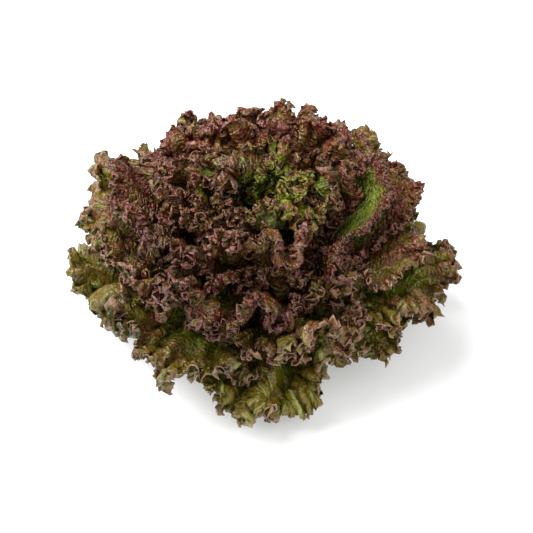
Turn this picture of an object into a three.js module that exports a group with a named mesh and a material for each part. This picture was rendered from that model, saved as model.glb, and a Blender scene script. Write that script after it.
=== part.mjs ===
// A head of red frilled lettuce, cut at the stem and standing on the cut: a short solid stem that
// carries thirty-six leaves in one spiral, the outer ones arched down to the table and the inner
// ones upright. Millimetres, +Z up, the origin at the centre of the cut face of the stem.
import * as THREE from "three";

// Driving dimensions, in millimetres.
const LEAF_COUNT = 36;
const STEM_HEIGHT = 56;
const STEM_RADIUS = 17;
const STEM_SHOULDER = 18; // height at which the stem starts to taper
const LOWEST_LEAF = 7; // height of the outermost leaf's foot on the stem
const HIGHEST_LEAF = STEM_HEIGHT - 4;
const LEAF_TO_STEM = 2.2; // from the stem's side to the middle of a leaf's thickness
const OUTER_LENGTH = 142;
const INNER_LENGTH = 96;
const OUTER_HALF_WIDTH = 70;
const INNER_HALF_WIDTH = 34;
const FOOT_HALF_WIDTH = 8;
const RIB_THICKNESS = 2.6;
const BLADE_THICKNESS = 1.1;
const BEND_SPAN = 150; // length of leaf over which the whole bend is spent

// Driving angles, in degrees.
const GOLDEN_ANGLE = 137.508; // from each leaf to the next one in
const FIRST_AZIMUTH = 262; // the outermost leaf points to the front, at -Y
const OUTER_RISE = 36; // slope of an outer leaf where it leaves the stem
const INNER_RISE = 88;
const OUTER_BEND = 80; // how far an outer leaf has turned down by the end of BEND_SPAN
const INNER_BEND = 4;
const DROOP = 40; // further bend of the outermost leaf, nearly spent five leaves further in
const WRAP = 66; // the furthest that a leaf reaches round the head, to each side
const RIM_SWEEP = 152; // the rim's angle from the tip to where each side meets the stalk

// How fast each measure changes from the outermost leaf to the innermost: 1 is evenly.
const RISE_POWER = 0.85;
const BEND_EASE = 0.9;
const LENGTH_POWER = 1.8;
const WIDTH_POWER = 2.2;
const DROOP_FADE = 0.085;

// The shape of one leaf, as shares of its length or half width.
const BEND_POWER = 1.5; // above 1, a leaf bends most near its tip
const WIDEST_AT = 0.6;
const SHOULDER_REACH = 0.42; // from the widest place back to the foot of the blade
const TIP_FULLNESS = 0.1;
const VEIN_SPREAD = 1.6; // how far the veins have parted, in feet, where they start to fan out
const VEIN_RISE = 0.45;
const VEIN_SHORTENING = 0.62;

const CROWN_TAPER = 0.97;
const CROWN_POWER = 1.6;

// Each leaf differs a little from the even run: the share, and a step that never repeats.
const LENGTH_VARIETY = { share: 0.07, step: 0.618034 };
const WIDTH_VARIETY = { share: 0.1, step: 0.754877 };

// The leaves that differ from the even run: how long and how wide each grew beside its neighbours,
// and how far, in degrees, it lies off its place in the spiral.
const REACH = {
  0: 0.82, 2: 0.83, 3: 0.8, 4: 0.96, 5: 0.96, 6: 0.98, 8: 0.88, 9: 1.05, 10: 0.91, 11: 0.95,
  13: 1.06, 16: 0.88, 17: 1.08, 19: 1.03, 22: 1.07, 24: 0.6, 25: 1.08, 34: 0.8,
};
const SPAN = { 0: 0.62, 3: 0.88, 5: 0.94, 8: 0.88, 16: 0.88, 19: 1.05, 24: 0.85, 29: 0.9 };
const TURN = { 0: 7, 2: 5, 3: 8, 5: 5, 6: -21, 7: 4, 8: 6, 10: 2, 14: -9, 19: 2, 22: 1 };

// The head isn't round: these waves in its plan, by size, count and azimuth, spread it sideways.
const PLAN_WAVES = [
  { size: 0.05, count: 1, at: 175 },
  { size: 0.055, count: 2, at: 178 },
  { size: 0.03, count: 3, at: 20 },
];
const PLAN_FULL = 60; // radius from which the plan's waves have their full size
const LIFT = { size: 1.5, count: 5, phase: 0.6, radius: 90, most: 1.6 };

const STALK_GREEN = new THREE.MeshStandardMaterial({ color: 0xc9d3a0, roughness: 0.6, metalness: 0 });
const OUTER_LEAF = new THREE.MeshStandardMaterial({ color: 0x5c4a2c, roughness: 0.45, metalness: 0 });
const MIDDLE_LEAF = new THREE.MeshStandardMaterial({ color: 0x5a3630, roughness: 0.4, metalness: 0 });
const HEART_LEAF = new THREE.MeshStandardMaterial({ color: 0x6f6a2c, roughness: 0.45, metalness: 0 });

// The leaves by zone, from the outside in, with the grid that each one's blade is drawn on.
const ZONES = [
  { name: "outer_leaf", first: 0, material: OUTER_LEAF, columns: 10, rows: 6 },
  { name: "middle_leaf", first: 12, material: MIDDLE_LEAF, columns: 10, rows: 6 },
  { name: "heart_leaf", first: 26, material: HEART_LEAF, columns: 8, rows: 5 },
];
const STEM_SIDES = 24;
const STEM_STEPS = 8;

const lerp = (from, to, share) => from + (to - from) * share;
const rad = THREE.MathUtils.degToRad;
const clamp = THREE.MathUtils.clamp;
const varied = (index, { share, step }) => 1 + share * (((index * step) % 1) - 0.5);

function stemRadius(height) {
  const share = clamp((height - STEM_SHOULDER) / (STEM_HEIGHT - STEM_SHOULDER), 0, 1);
  return STEM_RADIUS * Math.sqrt(1 - CROWN_TAPER * share ** CROWN_POWER);
}

// Everything that one leaf is drawn from. share runs from 0, the outermost, to 1, the innermost.
function planLeaf(index) {
  const share = index / (LEAF_COUNT - 1);
  const height = lerp(LOWEST_LEAF, HIGHEST_LEAF, share);
  const start = stemRadius(height) + LEAF_TO_STEM;
  const length = lerp(OUTER_LENGTH, INNER_LENGTH, share ** LENGTH_POWER);
  const halfWidth = lerp(OUTER_HALF_WIDTH, INNER_HALF_WIDTH, share ** WIDTH_POWER);
  const bend = lerp(OUTER_BEND, INNER_BEND, share ** BEND_EASE);
  return {
    height,
    start,
    azimuth: rad(FIRST_AZIMUTH + index * GOLDEN_ANGLE + (TURN[index] ?? 0)),
    rise: rad(lerp(OUTER_RISE, INNER_RISE, share ** RISE_POWER)),
    bend: rad(bend + DROOP * Math.exp(-share / DROOP_FADE)),
    length: length * varied(index, LENGTH_VARIETY) * (REACH[index] ?? 1),
    halfWidth: halfWidth * varied(index, WIDTH_VARIETY) * (SPAN[index] ?? 1),
    footHalfWidth: Math.min(FOOT_HALF_WIDTH, 0.4 * start + 1),
  };
}

// The leaf's midline, in the plane of its midrib: radius and height at each millimetre along it.
// Each leaf's midline lies above the one outside it all the way, so the leaves nest.
function midline(leaf) {
  const points = [{ radius: leaf.start, height: leaf.height }];
  let before = leaf.rise;
  for (let along = 1; along <= leaf.length + 20; along++) {
    const slope = leaf.rise - leaf.bend * (along / BEND_SPAN) ** BEND_POWER;
    const last = points[points.length - 1];
    points.push({
      radius: last.radius + (Math.cos(before) + Math.cos(slope)) / 2,
      height: last.height + (Math.sin(before) + Math.sin(slope)) / 2,
    });
    before = slope;
  }
  return points;
}

// A place on the leaf laid flat: across, from -1 to 1, picks a vein that fans out from the foot,
// and out, from 0 to 1, is the share of the way along it to the rim.
function flatPoint(leaf, across, out) {
  const angle = across * rad(RIM_SWEEP);
  const widest = WIDEST_AT * leaf.length;
  const behind = Math.abs(angle) > Math.PI / 2;
  const reach = behind ? SHOULDER_REACH * leaf.length : leaf.length - widest;
  const rim = [
    leaf.halfWidth * Math.sin(angle) * (1 + TIP_FULLNESS * Math.cos(angle)),
    widest + reach * Math.cos(angle),
  ];
  const foot = [across * leaf.footHalfWidth, 0];
  const pull = [
    across * leaf.footHalfWidth * VEIN_SPREAD,
    VEIN_RISE * leaf.length * (1 - VEIN_SHORTENING * across ** 2),
  ];
  const [a, b, c] = [(1 - out) ** 2, 2 * out * (1 - out), out ** 2];
  return [a * foot[0] + b * pull[0] + c * rim[0], a * foot[1] + b * pull[1] + c * rim[1]];
}

// Sets a place that was found on the round head into the real one, which spreads to the sides and
// lifts in shallow waves. It is smooth and one to one, so leaves that nest still do after it.
function spread(radius, azimuth, height) {
  let wide = 0;
  for (const { size, count, at } of PLAN_WAVES) wide += size * Math.cos(count * (azimuth - rad(at)));
  const out = radius * (1 + wide * Math.min(radius / PLAN_FULL, 1));
  const far = Math.min(radius / LIFT.radius, LIFT.most) ** 2;
  const up = height + LIFT.size * far * (1 + Math.sin(LIFT.count * azimuth + LIFT.phase));
  return new THREE.Vector3(out * Math.cos(azimuth), out * Math.sin(azimuth), up);
}

// A leaf's middle surface in the head, as a function of across and out.
function surfaceOf(leaf) {
  const line = midline(leaf);
  const wrap = rad(WRAP);
  return (across, out) => {
    const [side, along] = flatPoint(leaf, across, out);
    const at = clamp(along, 0, line.length - 1.001);
    const low = line[Math.floor(at)];
    const high = line[Math.floor(at) + 1];
    const radius = lerp(low.radius, high.radius, at % 1);
    const height = lerp(low.height, high.height, at % 1);
    const turn = wrap * Math.tanh(side / (radius * wrap));
    return spread(radius, leaf.azimuth + turn, height);
  };
}

function unitNormal(surface, across, out) {
  const step = 1e-3;
  const [left, right] = [Math.max(across - step, -1), Math.min(across + step, 1)];
  const [low, high] = [Math.max(out - step, 0), Math.min(out + step, 1)];
  const acrossWay = surface(right, out).sub(surface(left, out));
  const outWay = surface(across, high).sub(surface(across, low));
  return acrossWay.cross(outWay).normalize();
}

// A leaf is thick at the foot of its midrib and thin everywhere else.
function thicknessAt(across, out) {
  const rib = Math.exp(-((across / 0.35) ** 2)) * (1 - out) ** 2;
  return lerp(BLADE_THICKNESS, RIB_THICKNESS, rib);
}

// One face of a leaf as rows of points, half the thickness away from its middle surface.
function leafSkin(surface, columns, rows, side) {
  const skin = [];
  for (let row = 0; row <= rows; row++) {
    const line = [];
    for (let column = 0; column <= columns; column++) {
      const [across, out] = [(2 * column) / columns - 1, row / rows];
      const offset = (side * thicknessAt(across, out)) / 2;
      line.push(surface(across, out).addScaledVector(unitNormal(surface, across, out), offset));
    }
    skin.push(line);
  }
  return skin;
}

// The closed solid: a skin on the side away from the heart, one on the side that faces it, and a
// strip between them all round the edge.
function leafGeometry(leaf, columns, rows) {
  const surface = surfaceOf(leaf);
  const outer = leafSkin(surface, columns, rows, 1);
  const inner = leafSkin(surface, columns, rows, -1);
  const corners = [];
  const triangle = (a, b, c) => corners.push(...a.toArray(), ...b.toArray(), ...c.toArray());
  const quad = (a, b, c, d) => {
    triangle(a, b, c);
    triangle(a, c, d);
  };
  for (let r = 0; r < rows; r++) {
    for (let c = 0; c < columns; c++) {
      quad(outer[r][c], outer[r][c + 1], outer[r + 1][c + 1], outer[r + 1][c]);
      quad(inner[r][c], inner[r + 1][c], inner[r + 1][c + 1], inner[r][c + 1]);
    }
    quad(outer[r][0], outer[r + 1][0], inner[r + 1][0], inner[r][0]);
    quad(outer[r][columns], inner[r][columns], inner[r + 1][columns], outer[r + 1][columns]);
  }
  for (let c = 0; c < columns; c++) {
    quad(outer[0][c], inner[0][c], inner[0][c + 1], outer[0][c + 1]);
    quad(outer[rows][c], outer[rows][c + 1], inner[rows][c + 1], inner[rows][c]);
  }
  const position = new THREE.Float32BufferAttribute(corners, 3);
  return new THREE.BufferGeometry().setAttribute("position", position);
}

function makeLeaf(index) {
  const zone = ZONES.findLast(({ first }) => index >= first);
  const geometry = leafGeometry(planLeaf(index), zone.columns, zone.rows);
  const mesh = new THREE.Mesh(geometry, zone.material);
  mesh.name = `${zone.name}_${String(index - zone.first + 1).padStart(2, "0")}`;
  return mesh;
}

// The stem is turned about its axis: a flat cut face, a straight butt and a tapering crown.
function makeStem() {
  const profile = [new THREE.Vector2(0, 0), new THREE.Vector2(STEM_RADIUS, 0)];
  for (let step = 1; step < STEM_STEPS; step++) {
    const height = (STEM_HEIGHT * step) / STEM_STEPS;
    profile.push(new THREE.Vector2(stemRadius(height), height));
  }
  profile.push(new THREE.Vector2(0, STEM_HEIGHT));
  const geometry = new THREE.LatheGeometry(profile, STEM_SIDES).rotateX(Math.PI / 2);
  const mesh = new THREE.Mesh(geometry, STALK_GREEN);
  mesh.name = "stem";
  return mesh;
}

const head = new THREE.Group();
head.add(makeStem());
for (let index = 0; index < LEAF_COUNT; index++) head.add(makeLeaf(index));

export default head;
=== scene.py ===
"""Looks of a head of red frilled lettuce: thirty-six frilled leaves on a short cut stem.

Every leaf of the frame is a plain sheet. Here each one is drawn again on the same surface, with its
folds, frill, toothed edge, veins and puckers. Leaves are worked out in millimetres and the finished
meshes are in metres.
"""

from __future__ import annotations

import logging
import math
from dataclasses import dataclass, field, fields, replace
from enum import Enum
from typing import Callable
import bmesh  # noqa: E402
import bpy  # noqa: E402
import numpy as np  # noqa: E402
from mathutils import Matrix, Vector  # noqa: E402


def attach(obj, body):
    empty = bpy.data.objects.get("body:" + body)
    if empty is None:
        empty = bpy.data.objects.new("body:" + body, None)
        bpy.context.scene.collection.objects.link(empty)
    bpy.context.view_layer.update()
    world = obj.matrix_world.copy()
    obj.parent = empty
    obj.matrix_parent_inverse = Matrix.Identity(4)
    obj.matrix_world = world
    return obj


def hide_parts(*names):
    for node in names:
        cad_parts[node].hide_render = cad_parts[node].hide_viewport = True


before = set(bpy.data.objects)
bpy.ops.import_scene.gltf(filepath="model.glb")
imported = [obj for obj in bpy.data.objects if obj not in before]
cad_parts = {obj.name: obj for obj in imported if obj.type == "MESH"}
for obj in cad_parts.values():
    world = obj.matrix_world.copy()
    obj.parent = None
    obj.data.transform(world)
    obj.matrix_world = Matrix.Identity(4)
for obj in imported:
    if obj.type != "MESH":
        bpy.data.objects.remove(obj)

LOG = logging.getLogger("lettuce")
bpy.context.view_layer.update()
MM = 0.001
FULL_TURN = 2.0 * math.pi
FIRST_SEED = 700
Array = np.ndarray
Colour = tuple[float, float, float]
Socket = bpy.types.NodeSocket


def lerp(low: float, high: float, share: float) -> float:
    """Return the value a share of the way from low to high."""
    return low + (high - low) * share


def smoothstep(low: float, high: float, value: Array) -> Array:
    """Return 0 below low, 1 above high and a smooth rise between them."""
    share = np.clip((value - low) / (high - low), 0.0, 1.0)
    return share * share * (3.0 - 2.0 * share)


def unit(vectors: Array) -> Array:
    """Return the vectors of the last axis at unit length."""
    return vectors / np.maximum(np.linalg.norm(vectors, axis=-1, keepdims=True), 1e-12)


def running_sum(rate: Array) -> Array:
    """Return how far a rate given at unit steps has led, from 0 at the first."""
    return np.concatenate([[0.0], np.cumsum((rate[1:] + rate[:-1]) / 2.0)])


def along_rim(points: Array) -> tuple[Array, float]:
    """Return how far along a leaf's rim each column lies, and the mean distance between them."""
    lengths = np.linalg.norm(np.diff(points[-1], axis=0), axis=-1)
    return np.concatenate([[0.0], np.cumsum(lengths)]), lengths.mean()


def wander(rng: np.random.Generator, waves: int = 5) -> Callable[[Array], Array]:
    """Make a smooth random function of one number, about -1 to 1, that never repeats.

    Args:
        rng: the leaf's own source of random numbers.
        waves: how many waves are summed.

    Returns:
        A function whose features are about one unit long.
    """
    slowest, smallest, crest = 0.25, 0.5, 1.6
    pace = rng.uniform(slowest, 1.0, waves)
    start = rng.uniform(0.0, FULL_TURN, waves)
    size = rng.uniform(smallest, 1.0, waves)
    size /= np.sqrt((size**2).sum() / 2.0) * crest

    def curve(where: Array) -> Array:
        """Sum the waves at each place."""
        return (size * np.sin(FULL_TURN * where[..., None] * pace + start)).sum(-1)

    return curve


def ripple(rng: np.random.Generator, waves: int = 6) -> Callable[[Array, Array], Array]:
    """Make a smooth random function of two numbers, about -1 to 1.

    Args:
        rng: the leaf's own source of random numbers.
        waves: how many waves are summed.

    Returns:
        A function whose features are about one unit long.
    """
    slowest = 0.4
    turn = rng.uniform(0.0, FULL_TURN, waves)
    pace = rng.uniform(slowest, 1.0, waves)
    start = rng.uniform(0.0, FULL_TURN, waves)

    def surface(first: Array, second: Array) -> Array:
        """Return the sum of the waves at each place, given by its two numbers."""
        total = 0.0
        for angle, count, phase in zip(turn, pace, start):
            way = first * math.cos(angle) + second * math.sin(angle)
            total = total + np.sin(FULL_TURN * count * way + phase)
        return total / math.sqrt(waves)

    return surface


def vertex_places(mesh: bpy.types.Mesh) -> Array:
    """Return the places of a mesh's vertices, one row each."""
    places = np.empty(len(mesh.vertices) * 3)
    mesh.vertices.foreach_get("co", places)
    return places.reshape(-1, 3)


def write_vectors(mesh: bpy.types.Mesh, name: str, values: Array) -> None:
    """Store three numbers for each vertex of a mesh, one row each, under a name."""
    mesh.attributes.new(name, "FLOAT_VECTOR", "POINT")
    mesh.attributes[name].data.foreach_set("vector", values.ravel())


class Zone(Enum):
    """Where on the head a leaf stands: the name of its nodes and of its material slot."""

    OUTER = "outer_leaf"
    MIDDLE = "middle_leaf"
    HEART = "heart_leaf"


ZONE_STARTS = {Zone.OUTER: 0, Zone.MIDDLE: 12, Zone.HEART: 26}


def zone_of(index: int) -> Zone:
    """Return the zone of a leaf, which is counted from the outside in."""
    return [zone for zone, first in ZONE_STARTS.items() if index >= first][-1]


@dataclass(frozen=True)
class Habit:
    """How the leaves of the head are laid out, as in the frame. Millimetres and degrees.

    A pair is the outermost leaf's value and the innermost's. A pace is the power of the leaf's share of
    the way in that leads from one to the other, and a spread is how much leaves differ by chance.
    """

    leaf_count: int = 36
    stem_height: float = 56.0
    stem_radius: float = 17.0
    stem_shoulder: float = 18.0
    stem_taper: float = 0.97
    stem_curve: float = 1.6
    lowest_leaf: float = 7.0
    highest_leaf: float = 52.0
    leaf_to_stem: float = 2.2
    length: tuple[float, float] = (142.0, 96.0)
    length_pace: float = 1.8
    length_spread: float = 0.07
    half_width: tuple[float, float] = (70.0, 34.0)
    width_pace: float = 2.2
    width_spread: float = 0.1
    foot_half_width: float = 8.0
    foot_per_start: float = 0.4
    foot_least: float = 1.0
    golden_angle: float = 137.508
    first_azimuth: float = 262.0
    rise: tuple[float, float] = (36.0, 88.0)
    rise_pace: float = 0.85
    bend: tuple[float, float] = (80.0, 4.0)
    bend_pace: float = 0.9
    bend_span: float = 150.0
    bend_curve: float = 1.5
    droop: float = 40.0
    droop_fade: float = 0.085
    wrap: float = 66.0

    def stem_at(self, height: float) -> float:
        """Return the stem's radius at a height.

        Args:
            height: the height above the cut face.

        Returns:
            The radius, the same up to the shoulder and smaller above it.
        """
        rest = self.stem_height - self.stem_shoulder
        share = min(max((height - self.stem_shoulder) / rest, 0.0), 1.0)
        return self.stem_radius * math.sqrt(1.0 - self.stem_taper * share**self.stem_curve)


@dataclass(frozen=True)
class Blade:
    """A leaf laid flat: the fan of its rim in degrees, and the rest as shares of its own sizes."""

    rim_sweep: float = 152.0
    widest: float = 0.6
    lobe: float = 0.42
    bulge: float = 0.1
    vein_side: float = 1.6
    vein_along: float = 0.45
    vein_dip: float = 0.62


@dataclass(frozen=True)
class Plan:
    """How the whole head strays from round, seen from above and in the height of its far leaves.

    Each wave is its size, how often it goes round and the azimuth of its crest in degrees.
    """

    waves: tuple[tuple[float, int, float], ...] = ((0.05, 1, 175.0), (0.055, 2, 178.0), (0.03, 3, 20.0))
    round_within: float = 60.0
    lift: float = 1.5
    lift_waves: float = 5.0
    lift_start: float = 0.6
    lift_from: float = 90.0
    lift_most: float = 1.6


@dataclass(frozen=True)
class Quirk:
    """What sets one leaf apart from its neighbours. All but the turn, in degrees, are factors.

    reach and span are on its length and half width, calm is on its coarse folds and fresh on how far in its
    red goes. shade is painted light and shade on its colours: above 1 it lightens a leaf that lies in more
    light, below 1 it darkens a leaf that lies in shade.
    """

    reach: float = 1.0
    span: float = 1.0
    turn: float = 0.0
    calm: float = 1.0
    fresh: float = 1.0
    shade: float = 1.0


HABIT = Habit()
BLADE = Blade()
PLAN = Plan()
# The shade factors below are painted light and shade, one per leaf.
QUIRKS = {
    0: Quirk(reach=0.82, span=0.62, turn=7.0, calm=0.8, shade=1.10),
    2: Quirk(reach=0.83, turn=5.0, fresh=0.8, shade=0.92),
    3: Quirk(reach=0.80, span=0.88, turn=8.0, fresh=0.7),
    4: Quirk(reach=0.96),
    5: Quirk(reach=0.96, span=0.94, turn=5.0, shade=0.82),
    6: Quirk(reach=0.98, turn=-21.0, fresh=0.55),
    7: Quirk(turn=4.0),
    8: Quirk(reach=0.88, span=0.88, turn=6.0, fresh=0.7),
    9: Quirk(reach=1.05),
    10: Quirk(reach=0.91, turn=2.0, fresh=0.85, shade=0.90),
    11: Quirk(reach=0.95, calm=0.6),
    12: Quirk(shade=1.20),
    13: Quirk(reach=1.06, fresh=0.8, shade=0.76),
    14: Quirk(turn=-9.0, calm=0.4, fresh=0.5, shade=1.22),
    15: Quirk(calm=0.6),
    16: Quirk(reach=0.88, span=0.88, fresh=0.7, shade=0.88),
    17: Quirk(reach=1.08, shade=1.28),
    18: Quirk(fresh=0.75, shade=0.72),
    19: Quirk(reach=1.03, span=1.05, turn=2.0, calm=0.15, fresh=0.16, shade=0.85),
    20: Quirk(shade=1.22),
    22: Quirk(reach=1.07, turn=1.0, shade=1.22),
    24: Quirk(reach=0.60, span=0.85, fresh=0.4),
    25: Quirk(reach=1.08, shade=1.28),
    26: Quirk(shade=0.78),
    27: Quirk(fresh=0.7, shade=0.85),
    29: Quirk(span=0.90, fresh=0.45),
    30: Quirk(fresh=0.6, shade=1.10),
    31: Quirk(shade=0.78),
    32: Quirk(fresh=0.22),
    33: Quirk(shade=0.82),
    34: Quirk(reach=0.80),
    35: Quirk(fresh=0.3, shade=0.76),
}
# How far in from the rim the red reaches, in millimetres, at shares of the way from the outside in.
FLUSH = ((0.0, 30.0), (0.2, 40.0), (0.34, 66.0), (0.6, 58.0), (0.78, 14.0), (1.0, 7.0))
FLUSH_SPREAD = (0.8, 1.15)
# Their multiples, past the whole numbers, spread evenly: they vary the leaves' lengths and widths.
LENGTH_STEP = 0.618034
WIDTH_STEP = 0.754877
# The share of a leaf's length that its plain sheet keeps, so that the frill has room.
FRILL_ROOM = 0.965
STEPS_PAST_TIP = 22
# The shares of the way in between which the heart's leaves begin to lean back from its hollow.
HEART_FROM = (0.7, 0.9)


@dataclass(frozen=True)
class Tier:
    """One size of fold in a leaf's frill, in millimetres."""

    wavelength: float
    height: float
    reach: float
    loop: float = 0.0
    lobe: float = 0.0
    unrest: float = 0.35


# The tiers of folds in a leaf's frill, coarse to fine, for the outermost leaf, one in the middle and
# the innermost. A leaf between them has tiers between theirs.
OUTER_TIERS = (
    Tier(wavelength=78.0, height=11.0, reach=62.0, lobe=6.0),
    Tier(wavelength=32.0, height=8.0, reach=28.0, loop=0.30, lobe=5.0),
    Tier(wavelength=12.0, height=4.2, reach=13.0, loop=0.38, lobe=2.2),
    Tier(wavelength=5.4, height=1.5, reach=6.0, loop=0.30, lobe=1.0),
)
MIDDLE_TIERS = (
    Tier(wavelength=70.0, height=10.0, reach=52.0, lobe=5.0),
    Tier(wavelength=26.0, height=6.4, reach=22.0, loop=0.30, lobe=4.0),
    Tier(wavelength=8.2, height=2.8, reach=9.0, loop=0.36, lobe=1.5),
    Tier(wavelength=4.1, height=1.3, reach=6.0, loop=0.30, lobe=0.8),
)
HEART_TIERS = (
    Tier(wavelength=48.0, height=5.0, reach=36.0, lobe=3.0),
    Tier(wavelength=18.0, height=4.4, reach=16.0, loop=0.30, lobe=2.5),
    Tier(wavelength=7.0, height=2.4, reach=8.0, loop=0.36, lobe=1.2),
    Tier(wavelength=3.6, height=1.0, reach=4.5, loop=0.30, lobe=0.5),
)
MIDDLE_SHARE = 0.4
INNER_SHARE = 0.6
# The least share of their reach that a calm leaf's folds keep.
CALM_REACH = 0.4


def blend_tiers(share: float) -> tuple[Tier, ...]:
    """Work out a leaf's tiers of folds.

    Args:
        share: how far from the outside in the leaf stands, from 0 to 1.

    Returns:
        The tiers, coarse to fine.
    """
    if share < MIDDLE_SHARE:
        low, high, mix = OUTER_TIERS, MIDDLE_TIERS, share / MIDDLE_SHARE
    else:
        low, high, mix = MIDDLE_TIERS, HEART_TIERS, (share - MIDDLE_SHARE) / INNER_SHARE
    names = [item.name for item in fields(Tier)]
    return tuple(
        Tier(**{name: lerp(getattr(a, name), getattr(b, name), mix) for name in names})
        for a, b in zip(low, high)
    )


@dataclass(frozen=True)
class Unrest:
    """How folds stray from even waves. A pace is in features a wave, a curve is a power of the fade."""

    drift_pace: float = 0.7
    warp: float = 0.3
    warp_pace: float = 1.6
    swell: float = 0.4
    swell_pace: float = 0.8
    pinch: float = 0.35
    depth: float = 0.3
    depth_pace: float = 0.7
    fade_curve: float = 1.3
    lobe_wave: float = 0.5
    lobe_lag: float = 1.1
    lobe_curve: float = 1.5
    look_along: float = 0.1


@dataclass(frozen=True)
class Teeth:
    """The small teeth of a leaf's rim. size, pitch and depth are millimetres."""

    size: float = 1.2
    pitch: float = 3.6
    depth: float = 2.2
    sharpness: float = 1.5
    sink: float = 0.3
    drift: float = 0.5
    drift_pace: float = 0.7
    even: float = 0.8
    swell: float = 0.5
    swell_pace: float = 0.8


@dataclass(frozen=True)
class Cushions:
    """The low cushions between a leaf's veins, in millimetres, the outermost leaf's height first."""

    height: tuple[float, float] = (2.2, 1.2)
    across: float = 12.0
    along: float = 15.0
    waves: int = 9
    from_foot: tuple[float, float] = (0.3, 0.7)
    level: float = 0.5


UNREST = Unrest()
TEETH = Teeth()
CUSHIONS = Cushions()


class Sheet:
    """The flat graded grid that leaves of one zone are drawn on, finer towards the rim.

    It is made of bands, from the foot to the rim, each with twice the columns of the one before it.
    BAND_ROWS are their rows and BAND_SHARES the shares of the leaf's length that they cover. The grid
    starts with FIRST_ROWS plain rows, of which the outermost are subdivided, as DOUBLED_ROWS counts.
    """

    BAND_ROWS = (5, 4, 4, 5, 5, 2)
    BAND_SHARES = (0.40, 0.20, 0.14, 0.14, 0.095, 0.025)
    FIRST_ROWS = 9
    DOUBLED_ROWS = (4, 4, 4, 3, 1)
    SIZE = 2.0
    DIGITS = 6

    def __init__(self, columns: int) -> None:
        """Model the grid and number its rows and columns.

        Args:
            columns: number of faces across the foot.
        """
        self.obj = self._model(columns)
        places = vertex_places(self.obj.data)
        self.fine_columns = columns * 2 ** len(self.DOUBLED_ROWS)
        rows = np.round(places[:, 1], self.DIGITS)
        self.column_of = np.rint((places[:, 0] + 1.0) / self.SIZE * self.fine_columns).astype(int)
        self.row_of = np.searchsorted(np.unique(rows), rows - 10.0**-self.DIGITS)
        self.out = self._row_places()
        self.across = np.linspace(-1.0, 1.0, self.fine_columns + 1)

    def _row_places(self) -> Array:
        """Work out where the rows lie.

        Returns:
            How far out each row of the sheet is, from 0 at the foot to 1 at the rim.
        """
        places = [0.0]
        for rows, share in zip(self.BAND_ROWS, self.BAND_SHARES):
            start = places[-1]
            places += [start + share * (row + 1) / rows for row in range(rows)]
        return np.array(places)

    def _model(self, columns: int) -> bpy.types.Object:
        """Add the plain grid and subdivide its outer bands, each band within the last.

        Args:
            columns: number of faces across the foot.

        Returns:
            The grid.
        """
        bpy.ops.object.select_all(action="DESELECT")
        bpy.ops.mesh.primitive_grid_add(
            x_subdivisions=columns, y_subdivisions=self.FIRST_ROWS, size=self.SIZE
        )
        grid = bpy.context.object
        step = self.SIZE / self.FIRST_ROWS
        bpy.ops.object.mode_set(mode="EDIT")
        for doubled in self.DOUBLED_ROWS:
            edge = 1.0 - doubled * step
            mesh = bmesh.from_edit_mesh(grid.data)
            for face in mesh.faces:
                face.select_set(False)
            for face in mesh.faces:
                if face.calc_center_median().y > edge:
                    face.select_set(True)
            bmesh.update_edit_mesh(grid.data)
            bpy.ops.mesh.subdivide(number_cuts=1, ngon=False)
            step /= 2.0
        bpy.ops.object.mode_set(mode="OBJECT")
        return grid

    def copy(self, name: str) -> bpy.types.Object:
        """Copy the sheet for one leaf.

        Args:
            name: the new object's name.

        Returns:
            A new object with its own mesh.
        """
        obj = self.obj.copy()
        obj.data = self.obj.data.copy()
        obj.name = name
        obj.data.name = name
        bpy.context.scene.collection.objects.link(obj)
        return obj

    def remove(self) -> None:
        """Delete the pattern once every leaf has its copy."""
        mesh = self.obj.data
        bpy.data.objects.remove(self.obj)
        bpy.data.meshes.remove(mesh)


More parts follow.
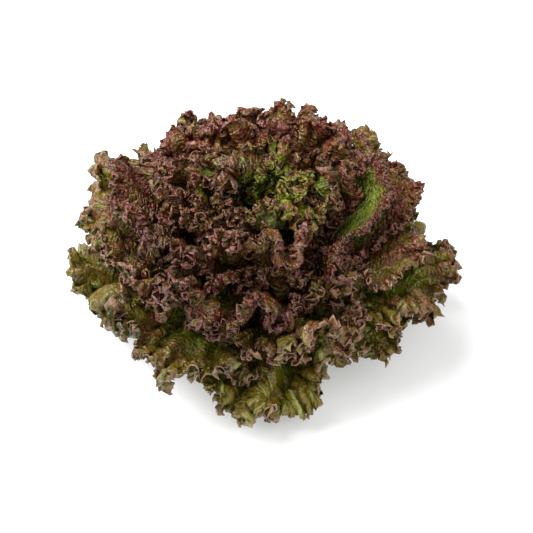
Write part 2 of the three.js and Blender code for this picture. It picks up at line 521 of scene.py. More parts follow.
@dataclass
class Leaf:
    """One leaf: where it stands, its size and its frill. Millimetres, degrees and shares."""

    index: int
    sheet: Sheet
    thickness: float = 0.55
    rib: float = 3.6
    rib_half_width: float = 3.2
    rib_taper: float = 1.3
    lean_back: float = 6.0
    sway_by: tuple[float, float, float] = (14.0, 8.0, 6.0)
    sway_fade: float = 0.4
    sway_curve: float = 2.5
    cup_level: float = 0.3
    side_frill: float = 0.25
    side_share: float = 0.16
    clearance: float = 0.4
    softness: float = 2.0
    share: float = field(init=False)
    zone: Zone = field(init=False)
    name: str = field(init=False)

    def __post_init__(self) -> None:
        """Work out the leaf's place in the spiral and its size."""
        self.quirk = QUIRKS.get(self.index, Quirk())
        self.share = self.index / (HABIT.leaf_count - 1)
        self.zone = zone_of(self.index)
        self.name = f"{self.zone.value}_{self.index - ZONE_STARTS[self.zone] + 1:02d}"
        self.rng = np.random.default_rng(FIRST_SEED + self.index)
        self.height = lerp(HABIT.lowest_leaf, HABIT.highest_leaf, self.share)
        self.start = HABIT.stem_at(self.height) + HABIT.leaf_to_stem
        turn = HABIT.first_azimuth + self.index * HABIT.golden_angle + self.quirk.turn
        self.azimuth = math.radians(turn)
        self.rise = math.radians(lerp(*HABIT.rise, self.share**HABIT.rise_pace))
        droop = HABIT.droop * math.exp(-self.share / HABIT.droop_fade)
        self.bend = math.radians(lerp(*HABIT.bend, self.share**HABIT.bend_pace) + droop)
        varied = 1.0 + HABIT.length_spread * ((self.index * LENGTH_STEP) % 1.0 - 0.5)
        self.length = lerp(*HABIT.length, self.share**HABIT.length_pace) * varied * self.quirk.reach
        self.length *= FRILL_ROOM
        varied = 1.0 + HABIT.width_spread * ((self.index * WIDTH_STEP) % 1.0 - 0.5)
        self.half_width = lerp(*HABIT.half_width, self.share**HABIT.width_pace) * varied
        self.half_width *= self.quirk.span
        self.foot = min(HABIT.foot_half_width, HABIT.foot_per_start * self.start + HABIT.foot_least)

    def flat(self, across: Array, out: Array) -> tuple[Array, Array]:
        """Place points of the fan of veins on the leaf laid flat.

        Args:
            across: which vein, from -1 at one side to 1 at the other.
            out: how far along it, from 0 at the foot to 1 at the rim.

        Returns:
            Distances to the side and along the leaf.
        """
        angle = across * math.radians(BLADE.rim_sweep)
        widest = BLADE.widest * self.length
        behind = np.abs(angle) > math.pi / 2
        reach = np.where(behind, BLADE.lobe * self.length, self.length - widest)
        rim_side = self.half_width * np.sin(angle) * (1.0 + BLADE.bulge * np.cos(angle))
        rim_along = widest + reach * np.cos(angle)
        pull_side = across * self.foot * BLADE.vein_side
        pull_along = BLADE.vein_along * self.length * (1.0 - BLADE.vein_dip * across**2)
        near, mid, far = (1.0 - out) ** 2, 2.0 * out * (1.0 - out), out**2
        side = near * across * self.foot + mid * pull_side + far * rim_side
        return side, mid * pull_along + far * rim_along

    def place(self, side: Array, along: Array) -> Array:
        """Set flat points on the leaf's own surface in the head.

        Args:
            side: distances to the side of the midrib.
            along: distances from the foot.

        Returns:
            The points in space.
        """
        step = np.arange(int(self.length) + STEPS_PAST_TIP, dtype=float)
        slope = self.rise - self.bend * (step / HABIT.bend_span) ** HABIT.bend_curve
        radius = np.interp(along, step, self.start + running_sum(np.cos(slope)))
        height = np.interp(along, step, self.height + running_sum(np.sin(slope)))
        wrap = math.radians(HABIT.wrap)
        azimuth = self.azimuth + wrap * np.tanh(side / (radius * wrap))
        wide = sum(
            size * np.cos(count * (azimuth - math.radians(crest))) for size, count, crest in PLAN.waves
        )
        out = radius * (1.0 + wide * np.minimum(radius / PLAN.round_within, 1.0))
        far = np.minimum(radius / PLAN.lift_from, PLAN.lift_most) ** 2
        up = height + PLAN.lift * far * (1.0 + np.sin(PLAN.lift_waves * azimuth + PLAN.lift_start))
        return np.stack([out * np.cos(azimuth), out * np.sin(azimuth), up], -1)

    @staticmethod
    def directions(points: Array, stride: int = 1) -> tuple[Array, Array, Array]:
        """Work out which way the leaf lies at each point.

        Args:
            points: the leaf, rows from foot to rim.
            stride: how many columns away the neighbours are that give the direction across.

        Returns:
            Unit vectors across the veins, out along them and up from the leaf's face.
        """
        padded = np.pad(points, ((0, 0), (stride, stride), (0, 0)), mode="edge")
        across = unit(padded[:, 2 * stride :] - padded[:, : -2 * stride])
        out = unit(np.gradient(points, axis=0))
        up = unit(np.cross(out, across))
        return np.cross(up, out), out, up

    def draw(self) -> None:
        """Work out every point of the frilled leaf on the full grid."""
        across, out = np.meshgrid(self.sheet.across, self.sheet.out)
        side, along = self.flat(across, out)
        self.points = points = self.place(side, along)
        steps = np.linalg.norm(np.diff(points, axis=0), axis=-1)
        travelled = np.concatenate([np.zeros((1, points.shape[1])), np.cumsum(steps, axis=0)])
        self.to_rim = travelled[-1:] - travelled
        spread = np.linalg.norm(np.gradient(points, axis=1), axis=-1)
        self.facts = {
            "leaf_fan": np.stack([across, out, spread / (2.0 / self.sheet.fine_columns)], -1),
            "leaf_flat": np.stack([side, along, self.to_rim], -1),
        }
        self.sway(across, out)
        from_side = smoothstep(0.0, self.side_share, 1.0 - np.abs(self.sheet.across))
        self.edge = lerp(self.side_frill, 1.0, from_side)
        coarse, folds, frill, curls = self.tiers()
        self.fold(coarse)
        self.fold(folds)
        self.cushion(side, along, out)
        self.fold(frill)
        self.fold(curls)
        self.tooth()

    def tiers(self) -> list[Tier]:
        """Work out the leaf's own tiers of folds, the coarse ones held back on a calm leaf.

        Returns:
            The tiers, coarse to fine.
        """
        calm = self.quirk.calm
        held = (calm, calm, 1.0, 1.0)
        kept = lerp(CALM_REACH, 1.0, calm)
        return [
            replace(tier, height=tier.height * keep, reach=tier.reach * kept)
            for tier, keep in zip(blend_tiers(self.share), held)
        ]

    def sway(self, across: Array, out: Array) -> None:
        """Tilt, cup and lean the leaf a little, so that no two leaves lie alike.

        Args:
            across: which vein each point is on, from -1 to 1.
            out: how far along it, from 0 to 1.
        """
        chance = self.rng.uniform(-1.0, 1.0, 3)
        tilt, cup, lean = chance * self.sway_by * (1.0 - self.sway_fade * self.share)
        _, _, up = self.directions(self.points)
        lean -= self.lean_back * float(smoothstep(*HEART_FROM, np.array(self.share)))
        lift = (tilt * across + cup * (across**2 - self.cup_level) + lean) * out**self.sway_curve
        self.points = self.points + up * lift[..., None]

    def fold(self, tier: Tier) -> None:
        """Add folds, which run in from the rim and fade away from it.

        Args:
            tier: the folds' sizes.
        """
        rim, pitch = along_rim(self.points)
        run, down = rim / tier.wavelength, self.to_rim / tier.wavelength
        drift, swell, deep, lobe = (wander(self.rng) for _ in range(4))
        warp, pinch = ripple(self.rng), ripple(self.rng)
        strayed = run + tier.unrest * drift(run * UNREST.drift_pace)
        phase = FULL_TURN * (strayed + UNREST.warp * warp(run, down * UNREST.warp_pace))
        size = tier.height * self.edge * (1.0 + UNREST.swell * swell(run * UNREST.swell_pace))
        size = size * (1.0 + UNREST.pinch * pinch(run, down))
        reach = tier.reach * (1.0 + UNREST.depth * deep(run * UNREST.depth_pace))
        fade = np.exp(-((self.to_rim / reach) ** UNREST.fade_curve))
        stride = max(1, int(UNREST.look_along * tier.wavelength / pitch))
        side, out, up = self.directions(self.points, stride)
        wave = size * np.sin(phase) * fade
        shift = -tier.loop * size * np.sin(2.0 * phase) * fade
        pull = tier.lobe * self.edge * (lobe(run) + UNREST.lobe_wave * np.sin(phase + UNREST.lobe_lag))
        pull = pull * fade**UNREST.lobe_curve
        moved = self.points + up * wave[..., None]
        self.points = moved + side * shift[..., None] + out * pull[..., None]

    def cushion(self, side: Array, along: Array, out: Array) -> None:
        """Raise the blade between its veins into low cushions.

        Args:
            side: distances to the side of the midrib.
            along: distances from the foot.
            out: how far along its vein each point is, from 0 to 1.
        """
        swell = ripple(self.rng, CUSHIONS.waves)
        raised = np.abs(swell(side / CUSHIONS.across, along / CUSHIONS.along))
        where = smoothstep(*CUSHIONS.from_foot, out)
        _, _, up = self.directions(self.points)
        size = lerp(*CUSHIONS.height, self.share) * self.quirk.calm
        self.points = self.points + up * (size * (raised - CUSHIONS.level) * where)[..., None]

    def tooth(self) -> None:
        """Pull the rim out into small uneven teeth."""
        rim, _ = along_rim(self.points)
        run = rim / TEETH.pitch
        drift, swell = wander(self.rng), wander(self.rng)
        strayed = run + TEETH.drift * drift(run * TEETH.drift_pace)
        saw = (1.0 - np.abs(np.sin(math.pi * strayed))) ** TEETH.sharpness
        size = TEETH.size * self.edge * (TEETH.even + TEETH.swell * swell(run * TEETH.swell_pace))
        _, out, _ = self.directions(self.points)
        fade = np.exp(-((self.to_rim / TEETH.depth) ** TEETH.sharpness))
        self.points = self.points + out * ((size * (saw - TEETH.sink))[None] * fade)[..., None]

    def settle(self) -> None:
        """Keep the leaf off the surface that the head stands on."""
        height = self.points[..., 2]
        low, soft = self.clearance, self.softness
        pressed = low + soft * np.exp((height - low - soft) / soft)
        self.points[..., 2] = np.where(height < low + soft, pressed, height)

    def build(self, material: bpy.types.Material) -> bpy.types.Object:
        """Make the leaf's closed mesh and dress it.

        Args:
            material: the finish of the leaf's zone.

        Returns:
            The finished piece.
        """
        obj = self.sheet.copy(f"frilled_{self.name}")
        mesh = obj.data
        on_grid = (self.sheet.row_of, self.sheet.column_of)
        mesh.vertices.foreach_set("co", (self.points[on_grid] * MM).ravel())
        below = len(mesh.vertices)
        for name, values in self.facts.items():
            write_vectors(mesh, name, values[on_grid])
        across, out, spread = self.facts["leaf_fan"][on_grid].T
        rib = np.exp(-((across * spread / self.rib_half_width) ** 2)) * (1.0 - out) ** self.rib_taper
        self.thicken(obj, lerp(self.thickness / self.rib, 1.0, rib))
        count = len(mesh.vertices)
        under = mesh.attributes.new("leaf_under", "FLOAT", "POINT")
        under.data.foreach_set("value", (np.arange(count) < below).astype(np.float32))
        flush = np.interp(self.share, *zip(*FLUSH)) * self.rng.uniform(*FLUSH_SPREAD)
        flush *= self.quirk.fresh
        # Its third number, shade, is the leaf's factor of painted light and shade.
        write_vectors(mesh, "leaf_tone", np.tile([self.share, flush, self.quirk.shade], (count, 1)))
        mesh.materials.clear()
        mesh.materials.append(material)
        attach(obj, "root")
        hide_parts(self.name)
        return obj

    def thicken(self, obj: bpy.types.Object, share: Array) -> None:
        """Give the sheet its thickness, with a closed edge, and shade it smooth.

        Args:
            obj: the leaf's sheet, which becomes its upper-side-up closed mesh.
            share: each vertex's share of the midrib's full thickness.
        """
        group = obj.vertex_groups.new(name="thickness")
        for vertex, weight in enumerate(share):
            group.add([vertex], float(weight), "REPLACE")
        bpy.ops.object.select_all(action="DESELECT")
        obj.select_set(True)
        bpy.context.view_layer.objects.active = obj
        bpy.ops.object.modifier_add(type="SOLIDIFY")
        solidify = obj.modifiers[-1]
        solidify.thickness = self.rib * MM
        solidify.offset = -1.0
        solidify.vertex_group = group.name
        solidify.use_quality_normals = True
        bpy.ops.object.modifier_apply(modifier=solidify.name)
        obj.vertex_groups.clear()
        bpy.ops.object.shade_smooth()


class Nodes:
    """Short ways to add and join the nodes of one tree."""

    def __init__(self, tree: bpy.types.NodeTree) -> None:
        """Work on a tree."""
        self.tree = tree

    def feed(self, socket: Socket, value: object) -> None:
        """Link a socket to the one that feeds it, or set its value."""
        if isinstance(value, bpy.types.NodeSocket):
            self.tree.links.new(value, socket)
        else:
            socket.default_value = value

    def add(self, kind: str, inputs: dict | None = None, **settings: object) -> bpy.types.Node:
        """Add a node, set its settings, and set or link its inputs.

        Args:
            kind: the node's type without its ShaderNode prefix.
            inputs: socket name or number to a value or to the socket that feeds it.
            settings: the node's own settings.

        Returns:
            The node.
        """
        node = self.tree.nodes.new(kind if kind.startswith("Node") else f"ShaderNode{kind}")
        for name, value in settings.items():
            setattr(node, name, value)
        for key, value in (inputs or {}).items():
            self.feed(node.inputs[key], value)
        return node

    def math(self, operation: str, first: object, second: object = 0.0, third: object = 0.0) -> Socket:
        """Return the result of a Math node on up to three values or sockets."""
        return self.add("Math", {0: first, 1: second, 2: third}, operation=operation).outputs[0]

    def times(self, first: object, second: object) -> Socket:
        """Return the product of two values or sockets."""
        return self.math("MULTIPLY", first, second)

    def blend(self, value: object, factor: float, base: object) -> Socket:
        """Return value times factor plus base."""
        return self.math("MULTIPLY_ADD", value, factor, base)

    def ramp(self, value: Socket, low: float, high: float, to: tuple = (0.0, 1.0)) -> Socket:
        """Return value mapped smoothly from low..high to the two ends of to."""
        sockets = {"Value": value, "From Min": low, "From Max": high, "To Min": to[0], "To Max": to[1]}
        return self.add("MapRange", sockets, interpolation_type="SMOOTHSTEP").outputs[0]

    def mix(self, share: object, first: object, second: object) -> Socket:
        """Mix two colours.

        Args:
            share: how much of the second shows.
            first: a colour or the socket that gives it.
            second: a colour or the socket that gives it.

        Returns:
            The mixed colour.
        """
        first_input, second_input, result = 6, 7, 2
        node = self.add("Mix", data_type="RGBA")
        self.feed(node.inputs[0], share)
        for key, colour in ((first_input, first), (second_input, second)):
            self.feed(node.inputs[key], (*colour, 1.0) if isinstance(colour, tuple) else colour)
        return node.outputs[result]

    def scaled(self, colour: Socket, factor: Socket) -> Socket:
        """Return a colour times a factor."""
        sockets = {0: colour, "Scale": factor}
        return self.add("VectorMath", sockets, operation="SCALE").outputs[0]

    def split(self, vector: Socket) -> bpy.types.NodeOutputs:
        """Return the three numbers of a vector."""
        return self.add("SeparateXYZ", {0: vector}).outputs

    def attribute(self, name: str, output: str = "Vector") -> Socket:
        """Return what a mesh stores under a name."""
        return self.add("Attribute", attribute_name=name).outputs[output]

    def noise(self, where: Socket, scale: float, detail: float = 3.0) -> Socket:
        """Return a noise value of about 0.5."""
        sockets = {"Vector": where, "Scale": scale, "Detail": detail, "Roughness": 0.55}
        return self.add("TexNoise", sockets).outputs["Fac"]

    def net(self, flat: Socket) -> Socket:
        """Return the distance from the fine net of veins, in cells of about 4.5 mm."""
        cells = {"Vector": flat, "Scale": 0.22, "Randomness": 0.9}
        return self.add("TexVoronoi", cells, feature="DISTANCE_TO_EDGE").outputs[0]


def new_group(name: str, inputs: dict[str, str], outputs: dict[str, str]) -> Nodes:
    """Make an empty node group.

    Args:
        name: the group's name.
        inputs: each input's name and its kind: Float, Vector or Color.
        outputs: likewise.

    Returns:
        The writer of its nodes.
    """
    tree = bpy.data.node_groups.new(name, "ShaderNodeTree")
    for direction, sockets in (("INPUT", inputs), ("OUTPUT", outputs)):
        for label, kind in sockets.items():
            tree.interface.new_socket(label, in_out=direction, socket_type=f"NodeSocket{kind}")
    return Nodes(tree)


def new_material(name: str) -> tuple[bpy.types.Material, Nodes]:
    """Make a material with no nodes, and return it with the writer of its nodes."""
    made = bpy.data.materials.new(name)
    made.use_nodes = True
    made.node_tree.nodes.clear()
    return made, Nodes(made.node_tree)


@dataclass(frozen=True)
class Veins:
    """The veins of a leaf. Widths are millimetres, at the start of the vein and at the rim."""

    side_count: float = 5.0
    fork_count: float = 15.0
    midrib: tuple[float, float] = (3.4, 0.5)
    side: tuple[float, float] = (1.1, 0.35)
    side_from: float = 0.15
    fork_from: tuple[float, float] = (0.45, 0.7)
    fork_strength: float = 0.6
    net_width: float = 0.10
    waver: float = 0.16

    @staticmethod
    def distance(n: Nodes, across: Socket, spread: Socket, count: float) -> Socket:
        """Return the distance from the nearest of veins spread evenly, a count in half the fan."""
        saw = n.math("PINGPONG", n.times(across, count), 0.5)
        return n.times(n.math("DIVIDE", n.math("SUBTRACT", 0.5, saw), count), spread)

    def group(self) -> bpy.types.NodeTree:
        """Build a midrib, side veins that fan out and fork, and a fine net between them.

        Returns:
            The node group.
        """
        n = new_group("veins", {"Fan": "Vector", "Flat": "Vector"}, {"Main": "Float", "Net": "Float"})
        given = n.add("NodeGroupInput").outputs
        across, out, spread = n.split(given["Fan"])
        bend = n.blend(n.noise(given["Flat"], 0.035, 2.0), self.waver, -self.waver / 2.0)
        across = n.math("ADD", across, n.times(bend, out))
        rib = n.times(n.math("ABSOLUTE", across), spread)
        rib_width = n.ramp(out, 0.0, 1.0, self.midrib)
        midrib = n.ramp(n.math("DIVIDE", rib, rib_width), 0.6, 1.1, (1.0, 0.0))
        near = self.distance(n, across, spread, self.side_count)
        side_width = n.ramp(out, self.side_from, 1.0, self.side)
        side_vein = n.ramp(n.math("DIVIDE", near, side_width), 0.5, 1.2, (1.0, 0.0))
        near = self.distance(n, across, spread, self.fork_count)
        fork_vein = n.times(n.ramp(near, 0.2, 0.6, (self.fork_strength, 0.0)), n.ramp(out, *self.fork_from))
        main = n.math("MAXIMUM", midrib, n.math("MAXIMUM", side_vein, fork_vein))
        net = n.ramp(n.net(given["Flat"]), 0.0, self.net_width, (1.0, 0.0))
        n.add("NodeGroupOutput", {"Main": main, "Net": net})
        return n.tree


@dataclass(frozen=True)
class Puckers:
    """The puckers of a leaf: domes between the fine veins, and small beads all over the frill."""

    dome: float = 0.6
    dome_width: float = 0.32
    bead: float = 0.40
    beads_per_metre: float = 400.0
    grain: float = 0.15
    grain_scale: float = 900.0

    def group(self) -> bpy.types.NodeTree:
        """Build the heights of the puckers, and where the beads are.

        Returns:
            The node group.
        """
        inputs = {"Flat": "Vector", "Position": "Vector"}
        n = new_group("puckers", inputs, {"Height": "Float", "Beads": "Float"})
        given = n.add("NodeGroupInput").outputs
        dome = n.ramp(n.net(given["Flat"]), 0.0, self.dome_width, (0.0, self.dome))
        dots = {"Vector": given["Position"], "Scale": self.beads_per_metre}
        dots |= {"Smoothness": 0.4, "Randomness": 1.0}
        spots = n.add("TexVoronoi", dots, feature="SMOOTH_F1").outputs[0]
        beads = n.ramp(spots, 0.15, 0.75, (1.0, 0.0))
        height = n.blend(beads, self.bead, dome)
        height = n.blend(n.noise(given["Position"], self.grain_scale), self.grain, height)
        n.add("NodeGroupOutput", {"Height": height, "Beads": beads})
        return n.tree


@dataclass(frozen=True)
class Skin:
    """The colours that the leaves of all zones share, as linear light, and where they lie.

    Distances from the rim are millimetres, and heights above the surface that the head stands on are
    metres.
    """

    shaded: Colour = (0.004, 0.010, 0.001)
    deep_red: Colour = (0.012, 0.004, 0.001)
    net: Colour = (0.26, 0.33, 0.05)
    vein: Colour = (0.36, 0.40, 0.11)
    below: Colour = (0.130, 0.145, 0.030)
    vein_below: Colour = (0.24, 0.28, 0.08)
    # Painted shade: dark colours laid deep in the heart's leaves, on the leaf's colour and on its
    # let-through light.
    hollow: Colour = (0.014, 0.012, 0.003)
    young_rim: Colour = (0.27, 0.31, 0.025)
    glow_green: Colour = (0.26, 0.30, 0.012)
    glow_red: Colour = (0.20, 0.045, 0.016)
    glow_hollow: Colour = (0.010, 0.012, 0.001)
    blotch_depth: float = 34.0
    sunlit: tuple[float, float] = (0.045, 0.115)
    # Where the painted shade deep in the heart lies: from the rim in millimetres and from the share of the
    # way in.
    hollow_from_rim: tuple[float, float] = (9.0, 22.0)
    hollow_share: tuple[float, float] = (0.70, 0.80)
    roughness: tuple[float, float] = (0.16, 0.30)

    def group(self) -> bpy.types.NodeTree:
        """Build the leaf's colour: green inside, flushed red towards the rim, paler along the veins.

        Its input Share is the leaf's place from the outside in, Flush how far in the red reaches, Rim
        the distance from the rim, Shade the factor of painted light and shade on the colours and Under 1 on
        the lower face. The tops of the beads near the rim get a painted highlight, and the heart's leaves a
        painted shade deep inside.

        Returns:
            The node group.
        """
        floats = ("Share", "Flush", "Shade", "Rim", "Under", "Veins", "Net", "Beads")
        colours = ("Green", "Bronze", "Red", "EdgeAndGlint")
        inputs = {"Position": "Vector", **dict.fromkeys(floats, "Float"), **dict.fromkeys(colours, "Color")}
        n = new_group("skin", inputs, {"Color": "Color", "Glow": "Color", "Roughness": "Float"})
        given = n.add("NodeGroupInput").outputs
        patch = n.noise(given["Position"], 24.0, 2.0)
        blotch = n.noise(given["Position"], 62.0)
        mottle = n.noise(given["Position"], 150.0)
        speckle = n.noise(given["Position"], 420.0, 2.0)
        blush, flush = self.flush(n, given, patch, blotch, mottle)
        green = n.mix(0.75, given["Green"], self.shaded)
        green = n.mix(n.ramp(mottle, 0.32, 0.62), green, given["Green"])
        bronze = n.mix(n.times(blush, 0.7), green, given["Bronze"])
        red = n.mix(n.ramp(speckle, 0.36, 0.62), n.mix(0.6, given["Red"], self.deep_red), given["Red"])
        # Painted highlight: the tops of the beads take the rim colour, most near the rim.
        painted_bead_glint = n.times(n.ramp(given["Beads"], 0.45, 0.95), n.ramp(given["Rim"], 4.0, 26.0, (0.55, 0.15)))
        skin = n.mix(flush, bronze, n.mix(painted_bead_glint, red, given["EdgeAndGlint"]))
        clear = n.math("SUBTRACT", 1.0, n.times(flush, 0.85))
        pale = n.times(n.times(given["Veins"], 0.75), clear)
        skin = n.mix(n.times(n.times(given["Net"], 0.22), clear), skin, self.net)
        skin = n.mix(pale, skin, self.vein)
        below = n.mix(n.times(flush, 0.8), self.below, given["Red"])
        skin = n.mix(given["Under"], skin, n.mix(pale, below, self.vein_below))
        # Painted shade: the heart's leaves darken further in from their rims, in colour and in let-through
        # light.
        young = n.ramp(given["Share"], *self.hollow_share, (0.0, 0.95))
        hollow = n.times(n.ramp(given["Rim"], *self.hollow_from_rim), young)
        skin = n.mix(hollow, skin, self.hollow)
        edge = n.math("SUBTRACT", given["Rim"], n.times(mottle, 0.5))
        rim = n.mix(n.ramp(given["Flush"], 3.0, 9.0), self.young_rim, given["EdgeAndGlint"])
        skin = n.mix(n.ramp(edge, -0.1, 0.5, (0.60, 0.0)), skin, rim)
        # Painted light and shade: colour and let-through light are scaled by the leaf's shade factor.
        glow = n.scaled(n.mix(n.times(flush, 0.85), self.glow_green, self.glow_red), given["Shade"])
        outputs = {
            "Color": n.scaled(skin, given["Shade"]),
            "Glow": n.mix(hollow, glow, self.glow_hollow),
            "Roughness": n.ramp(mottle, 0.3, 0.7, self.roughness),
        }
        n.add("NodeGroupOutput", outputs)
        return n.tree

    def flush(
        self, n: Nodes, given: bpy.types.NodeOutputs, patch: Socket, blotch: Socket, mottle: Socket
    ) -> tuple[Socket, Socket]:
        """Work out where the leaf is red.

        Args:
            n: the writer of the nodes.
            given: the group's inputs.
            patch: the coarsest noise.
            blotch: a finer one.
            mottle: a finer one still.

        Returns:
            Masks of where red may come and of how red it is.
        """
        height = n.split(given["Position"])[2]
        sunlit = n.ramp(n.blend(patch, 0.05, height), *self.sunlit)
        ripe = n.ramp(n.blend(patch, 0.3, given["Share"]), 0.12, 0.42, (0.5, 1.0))
        ripe = n.times(ripe, n.blend(sunlit, 0.35, 0.65))
        depth = n.blend(n.math("SUBTRACT", blotch, 0.5), self.blotch_depth, given["Rim"])
        blush = n.ramp(n.math("DIVIDE", depth, given["Flush"]), 0.65, 1.3, (1.0, 0.0))
        spared = n.ramp(given["Share"], 0.15, 0.45, (0.15, 0.62))
        spots = n.ramp(n.blend(mottle, 0.5, n.times(blotch, 0.5)), 0.43, 0.55)
        spots = n.blend(spots, n.math("SUBTRACT", 1.0, spared), spared)
        return blush, n.times(n.times(blush, ripe), spots)


@dataclass(frozen=True)
class LeafFinish:
    """The finish of one zone's leaves. Colours are linear light and relief is metres."""

    zone: Zone
    green: Colour
    bronze: Colour
    red: Colour
    # The edge colour is that of the rim and also of the painted highlights on the beads.
    edge: Colour
    specular: float = 0.52
    let_through: float = 0.27
    relief: float = 0.0022
    vein_relief: float = 0.5

    def material(self, groups: dict[str, bpy.types.NodeTree]) -> bpy.types.Material:
        """Build the leaf material.

        Args:
            groups: the shared node groups by name.

        Returns:
            A satin leaf, green at the foot and flushed towards the rim.
        """
        made, n = new_material(self.zone.value)
        flat = n.attribute("leaf_flat")
        share, flush, shade = n.split(n.attribute("leaf_tone"))
        position = n.add("TexCoord").outputs["Object"]
        fan = {"Fan": n.attribute("leaf_fan"), "Flat": flat}
        vein = n.add("Group", fan, node_tree=groups["veins"]).outputs
        pucker = n.add("Group", {"Flat": flat, "Position": position}, node_tree=groups["puckers"]).outputs
        given = {
            "Position": position,
            "Share": share,
            "Flush": flush,
            "Shade": shade,
            "Rim": n.split(flat)[2],
            "Under": n.attribute("leaf_under", "Fac"),
            "Veins": vein["Main"],
            "Net": vein["Net"],
            "Beads": pucker["Beads"],
            "Green": (*self.green, 1.0),
            "Bronze": (*self.bronze, 1.0),
            "Red": (*self.red, 1.0),
            "EdgeAndGlint": (*self.edge, 1.0),
        }
        skin = n.add("Group", given, node_tree=groups["skin"]).outputs
        rise = n.ramp(share, 0.05, 0.45, (0.45, 1.0))
        height = n.blend(vein["Main"], self.vein_relief, n.times(pucker["Height"], rise))
        bump = n.add("Bump", {"Height": height, "Strength": 1.0, "Distance": self.relief}).outputs[0]
        body = {
            "Base Color": skin["Color"],
            "Roughness": skin["Roughness"],
            "Normal": bump,
            "Specular IOR Level": self.specular,
        }
        body = n.add("BsdfPrincipled", body).outputs[0]
        glow = n.add("BsdfTranslucent", {"Color": skin["Glow"], "Normal": bump}).outputs[0]
        both = n.add("MixShader", {0: self.let_through, 1: body, 2: glow}).outputs[0]
        n.add("OutputMaterial", {0: both})
        return made


FINISHES = (
    LeafFinish(
        Zone.OUTER,
        green=(0.180, 0.200, 0.005),
        bronze=(0.170, 0.118, 0.004),
        red=(0.190, 0.058, 0.016),
        edge=(0.42, 0.22, 0.17),
    ),
    LeafFinish(
        Zone.MIDDLE,
        green=(0.175, 0.215, 0.003),
        bronze=(0.130, 0.080, 0.003),
        red=(0.145, 0.023, 0.007),
        edge=(0.30, 0.110, 0.105),
    ),
    LeafFinish(
        Zone.HEART,
        green=(0.215, 0.235, 0.004),
        bronze=(0.180, 0.125, 0.003),
        red=(0.140, 0.027, 0.008),
        edge=(0.30, 0.125, 0.085),
    ),
)


@dataclass(frozen=True)
class StemFinish:
    """Pale green stalk with a browned, fibrous cut. Colours are linear light, lengths are metres."""

    green: Colour = (0.42, 0.50, 0.22)
    pale: Colour = (0.62, 0.64, 0.42)
    brown: Colour = (0.30, 0.15, 0.06)
    fibre_scale: float = 700.0
    fibre_stretch: float = 0.12
    rust_height: float = 0.003
    rust_radius: tuple[float, float] = (0.004, 0.016)
    roughness: tuple[float, float] = (0.4, 0.6)
    relief: float = 0.0006

    def material(self) -> bpy.types.Material:
        """Build the stem material.

        Returns:
            A matt stalk, brown where it was cut.
        """
        made, n = new_material("stem")
        position = n.add("TexCoord").outputs["Object"]
        x, y, z = n.split(position)
        stretched = n.add("Mapping", {0: position, 3: (1.0, 1.0, self.fibre_stretch)}).outputs[0]
        fibres = n.noise(stretched, self.fibre_scale, 4.0)
        skin = n.mix(n.ramp(fibres, 0.35, 0.65), self.green, self.pale)
        radius = n.math("SQRT", n.math("ADD", n.math("POWER", x, 2.0), n.math("POWER", y, 2.0)))
        rust = n.times(n.ramp(z, 0.0, self.rust_height, (1.0, 0.0)), n.ramp(radius, *self.rust_radius))
        rust = n.times(rust, n.ramp(fibres, 0.3, 0.6, (0.35, 0.95)))
        bump = n.add("Bump", {"Height": fibres, "Strength": 0.5, "Distance": self.relief}).outputs[0]
        body = {
            "Base Color": n.mix(rust, skin, self.brown),
            "Roughness": n.ramp(fibres, 0.3, 0.7, self.roughness),
            "Normal": bump,
        }
        n.add("OutputMaterial", {0: n.add("BsdfPrincipled", body).outputs[0]})
        return made


@dataclass
class Stem:
    """The short butt that carries the leaves, cut across at its foot.

    Each of its ribs is a share of the radius, how many of them go round and how fast they turn on the
    way up, in radians a metre.
    """

    sides: int = 72
    rings: int = 22
    tip_mm: float = 2.0
    cut_rings: int = 4
    cut_inset: float = 0.16
    ribs: tuple[tuple[float, float, float], ...] = ((0.020, 8.0, 0.0), (0.014, 13.0, 160.0))
    smooth_below: float = 50.0
    finish: StemFinish = StemFinish()

    def build(self) -> bpy.types.Object:
        """Model the stem upwards from its cut face and dress it.

        Returns:
            The finished piece.
        """
        bpy.ops.object.select_all(action="DESELECT")
        bpy.ops.mesh.primitive_circle_add(
            vertices=self.sides, radius=HABIT.stem_radius * MM, fill_type="NGON"
        )
        obj = bpy.context.object
        obj.name = obj.data.name = "cut_stem"
        bpy.ops.object.mode_set(mode="EDIT")
        bpy.ops.mesh.select_all(action="SELECT")
        before = HABIT.stem_radius
        step = HABIT.stem_height / self.rings
        for ring in range(1, self.rings + 1):
            now = max(HABIT.stem_at(step * ring), self.tip_mm)
            bpy.ops.mesh.extrude_region_move(
                TRANSFORM_OT_translate={"value": (0.0, 0.0, step * MM)}
            )
            scale = now / before
            bpy.ops.transform.resize(value=(scale, scale, 1.0), center_override=(0.0, 0.0, 0.0))
            before = now
        mesh = bmesh.from_edit_mesh(obj.data)
        for face in mesh.faces:
            face.select_set(face.calc_center_median().z < 1e-6)
        bmesh.update_edit_mesh(obj.data)
        for _ in range(self.cut_rings):
            bpy.ops.mesh.inset(thickness=self.cut_inset * HABIT.stem_radius * MM)
        bpy.ops.mesh.select_all(action="SELECT")
        bpy.ops.mesh.normals_make_consistent(inside=False)
        bpy.ops.object.mode_set(mode="OBJECT")
        self.roughen(obj.data)
        bpy.ops.object.shade_smooth_by_angle(angle=math.radians(self.smooth_below))
        obj.data.materials.append(self.finish.material())
        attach(obj, "root")
        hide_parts("stem")
        return obj

    def roughen(self, mesh: bpy.types.Mesh) -> None:
        """Give the stem shallow ribs.

        Args:
            mesh: the stem's mesh.
        """
        points = vertex_places(mesh)
        turn = np.arctan2(points[:, 1], points[:, 0])
        swell = sum(size * np.sin(count * turn + twist * points[:, 2]) for size, count, twist in self.ribs)
        points[:, :2] *= (1.0 + swell)[:, None]
        mesh.vertices.foreach_set("co", points.ravel())


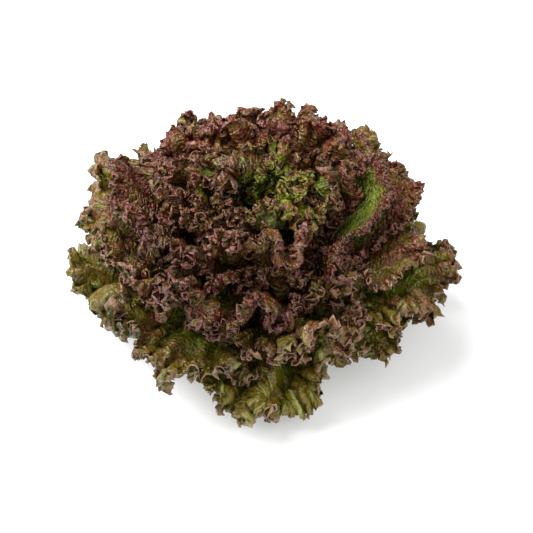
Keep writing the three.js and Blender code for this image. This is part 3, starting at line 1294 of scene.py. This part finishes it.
@dataclass
class Head:
    """The whole head of leaves, with the number of faces across the foot of each zone's leaves."""

    columns: dict[Zone, int] = field(
        default_factory=lambda: {Zone.OUTER: 25, Zone.MIDDLE: 33, Zone.HEART: 20}
    )

    def build(self) -> list[bpy.types.Object]:
        """Draw, thicken and dress every leaf.

        Returns:
            The finished leaves, from the outside in.
        """
        sheets = {zone: Sheet(columns) for zone, columns in self.columns.items()}
        groups = {"veins": Veins().group(), "puckers": Puckers().group(), "skin": Skin().group()}
        materials = {finish.zone: finish.material(groups) for finish in FINISHES}
        leaves = [Leaf(index, sheets[zone_of(index)]) for index in range(HABIT.leaf_count)]
        for leaf in leaves:
            leaf.draw()
            leaf.settle()
        pieces = [leaf.build(materials[leaf.zone]) for leaf in leaves]
        for sheet in sheets.values():
            sheet.remove()
        return pieces


@dataclass(frozen=True)
class Lamp:
    """A square lamp that faces the head. Metres and watts."""

    name: str
    place: tuple[float, float, float]
    size: float
    power: float
    aim: tuple[float, float, float] = (0.0, 0.0, 0.06)

    def hang(self) -> None:
        """Add the lamp to the scene."""
        light = bpy.data.lights.new(self.name, "AREA")
        light.energy = self.power
        light.size = self.size
        lamp = bpy.data.objects.new(self.name, light)
        lamp.location = self.place
        towards = Vector(self.aim) - Vector(self.place)
        lamp.rotation_euler = towards.to_track_quat("-Z", "Y").to_euler()
        bpy.context.scene.collection.objects.link(lamp)


@dataclass
class Studio:
    """A white floor, soft light from all round, and the camera of the photograph."""

    elevation: float = 44.0
    distance: float = 1.3
    target: tuple[float, float, float] = (0.0033, 0.0023, 0.0576)
    pixels_per_metre: float = 1360.0
    frame_pixels: float = 533.0
    sensor_mm: float = 36.0
    floor_size: float = 8.0
    floor_colour: Colour = (0.87, 0.87, 0.875)
    floor_roughness: float = 0.9
    floor_specular: float = 0.1
    floor_glow: float = 0.20
    room_light: float = 0.36
    lamps: tuple[Lamp, ...] = (
        Lamp("key", (-0.82, 0.12, 1.30), size=1.5, power=62.0),
        Lamp("fill", (0.8, -1.0, 1.1), size=2.0, power=24.0),
    )

    def build(self) -> None:
        """Set the floor, the lights and the camera."""
        self.floor()
        self.lights()
        self.camera()
        view = bpy.context.scene.view_settings
        view.view_transform = "Standard"
        view.look = "None"

    def floor(self) -> None:
        """Lay a wide white floor under the head."""
        bpy.ops.object.select_all(action="DESELECT")
        bpy.ops.mesh.primitive_plane_add(size=self.floor_size, location=(0.0, 0.0, 0.0))
        floor = bpy.context.object
        floor.name = "floor"
        made = bpy.data.materials.new("floor")
        made.use_nodes = True
        body = made.node_tree.nodes["Principled BSDF"]
        body.inputs["Base Color"].default_value = (*self.floor_colour, 1.0)
        body.inputs["Roughness"].default_value = self.floor_roughness
        body.inputs["Specular IOR Level"].default_value = self.floor_specular
        body.inputs["Emission Color"].default_value = (1.0, 1.0, 1.0, 1.0)
        body.inputs["Emission Strength"].default_value = self.floor_glow
        floor.data.materials.append(made)

    def lights(self) -> None:
        """Light the head from a white room, a key lamp at its left and a fill lamp in front."""
        world = bpy.data.worlds.new("room")
        bpy.context.scene.world = world
        world.use_nodes = True
        sky = world.node_tree.nodes["Background"]
        sky.inputs["Color"].default_value = (1.0, 1.0, 1.0, 1.0)
        sky.inputs["Strength"].default_value = self.room_light
        for lamp in self.lamps:
            lamp.hang()

    def camera(self) -> None:
        """Look down at the head from the front."""
        angle = math.radians(self.elevation)
        data = bpy.data.cameras.new("camera")
        data.sensor_width = self.sensor_mm
        data.lens = self.pixels_per_metre * self.distance / self.frame_pixels * data.sensor_width
        camera = bpy.data.objects.new("camera", data)
        back = Vector((0.0, -math.cos(angle), math.sin(angle)))
        camera.location = Vector(self.target) + back * self.distance
        camera.rotation_euler = (math.pi / 2.0 - angle, 0.0, 0.0)
        bpy.context.scene.collection.objects.link(camera)
        bpy.context.scene.camera = camera


def main() -> None:
    """Build the studio, the stem and the leaves, and report each piece."""
    logging.basicConfig(level=logging.INFO, format="%(name)s: %(message)s")
    Studio().build()
    pieces = [Stem().build(), *Head().build()]
    total = 0
    for piece in pieces:
        piece.data.calc_loop_triangles()
        total += len(piece.data.loop_triangles)
        LOG.info("%s: %d triangles", piece.name, len(piece.data.loop_triangles))
    LOG.info("%d triangles in all", total)
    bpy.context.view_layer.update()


if __name__ == "__main__":
    main()
